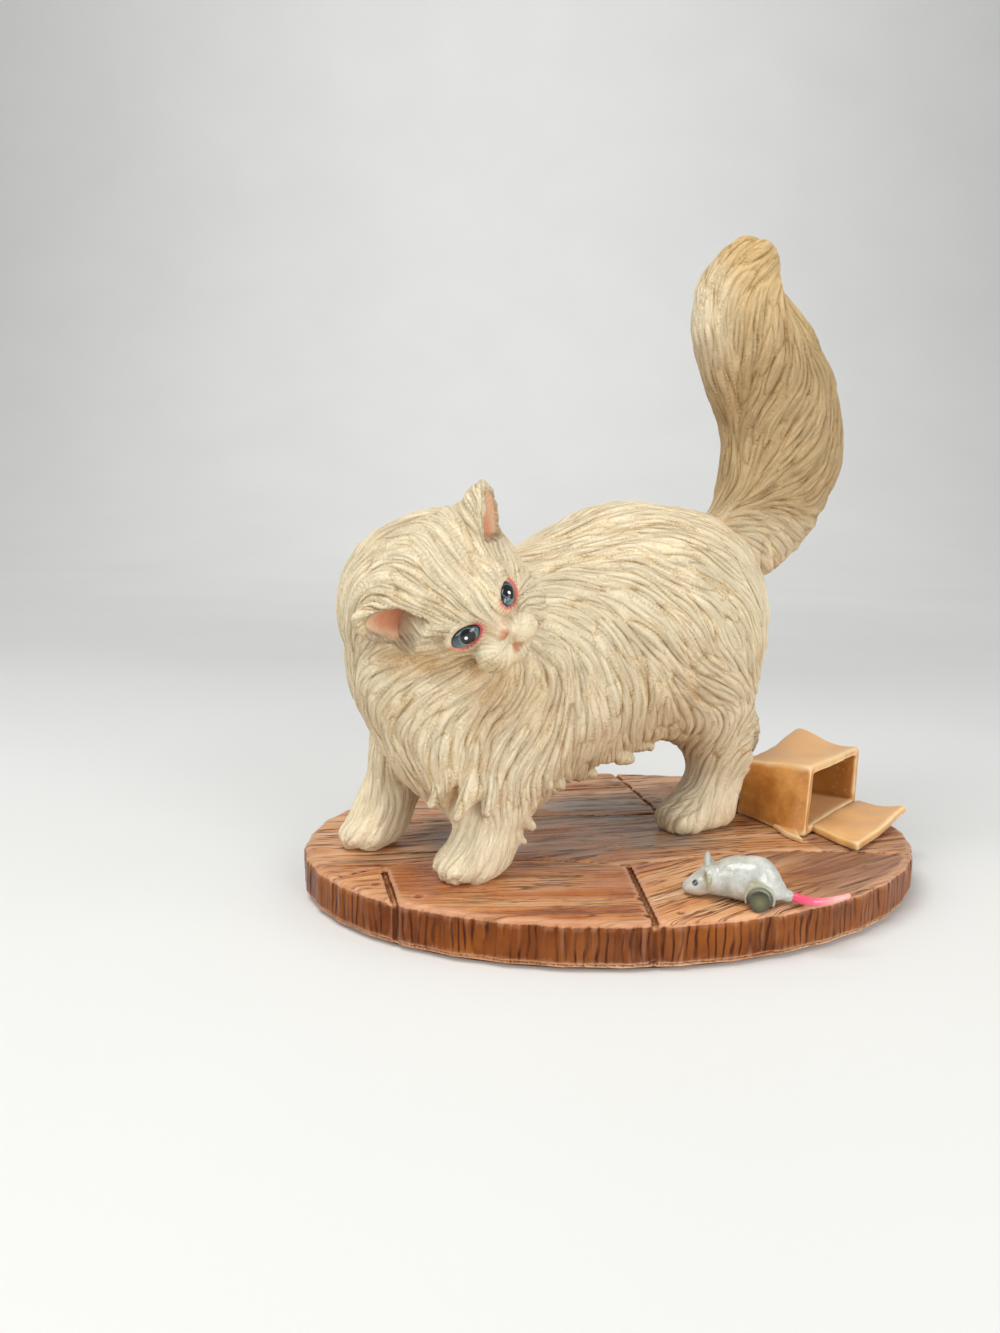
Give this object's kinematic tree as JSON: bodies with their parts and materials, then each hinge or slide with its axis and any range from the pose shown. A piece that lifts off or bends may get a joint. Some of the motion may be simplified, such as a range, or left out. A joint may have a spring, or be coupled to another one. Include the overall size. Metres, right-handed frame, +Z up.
{
  "type": "cat figurine",
  "caption": "Long-haired cat figurine in cast resin, standing on an oval of floorboards and looking back at a toy mouse, with an open carton behind",
  "frame": {"origin": "On the table plane under the centre of the oval base, which is the middle of the underside of the felt sheet", "axes": "+X runs along the floorboards from the cat's head to its tail, +Y points away from the side that the cat's face looks out of, +Z is up"},
  "size_m": [0.1553, 0.1126, 0.1587],
  "materials": {
    "base_boards": "cast resin painted as red-brown floorboards, satin lacquer",
    "felt_sheet": "thin dark felt",
    "cat_body": "cast resin with sculpted fur, cream paint with a tan wash in the recesses, matt",
    "cat_head": "cast resin with sculpted fur, cream paint with a tan wash in the recesses, matt",
    "cat_tail": "cast resin with sculpted fur, cream and ochre paint with a tan wash, matt",
    "eye": "blue-grey domed eye, glossy",
    "pin_steel": "plain steel dowel",
    "carton": "cast resin painted as ochre card, satin",
    "mouse_body": "cast resin, pale grey-white enamel, satin",
    "mouse_tail": "pink enamel, satin",
    "mouse_wheel": "olive-bronze enamel, glossy"
  },
  "bodies": {
    "root": {"base_boards": "base_boards", "felt_sheet": "felt_sheet", "cat_body": "cat_body", "cat_head": "cat_head", "cat_tail": "cat_tail", "eye_left": "eye", "eye_right": "eye", "paw_pin_near_front": "pin_steel", "paw_pin_far_front": "pin_steel", "paw_pin_near_hind": "pin_steel", "paw_pin_far_hind": "pin_steel", "neck_pin": "pin_steel", "tail_pin": "pin_steel", "carton_box": "carton", "carton_front_flap": "carton", "carton_side_flap": "carton", "mouse_body": "mouse_body", "mouse_tail": "mouse_tail", "mouse_axle": "pin_steel", "mouse_wheel_near": "mouse_wheel", "mouse_wheel_far": "mouse_wheel"}
  },
  "joints": []
}
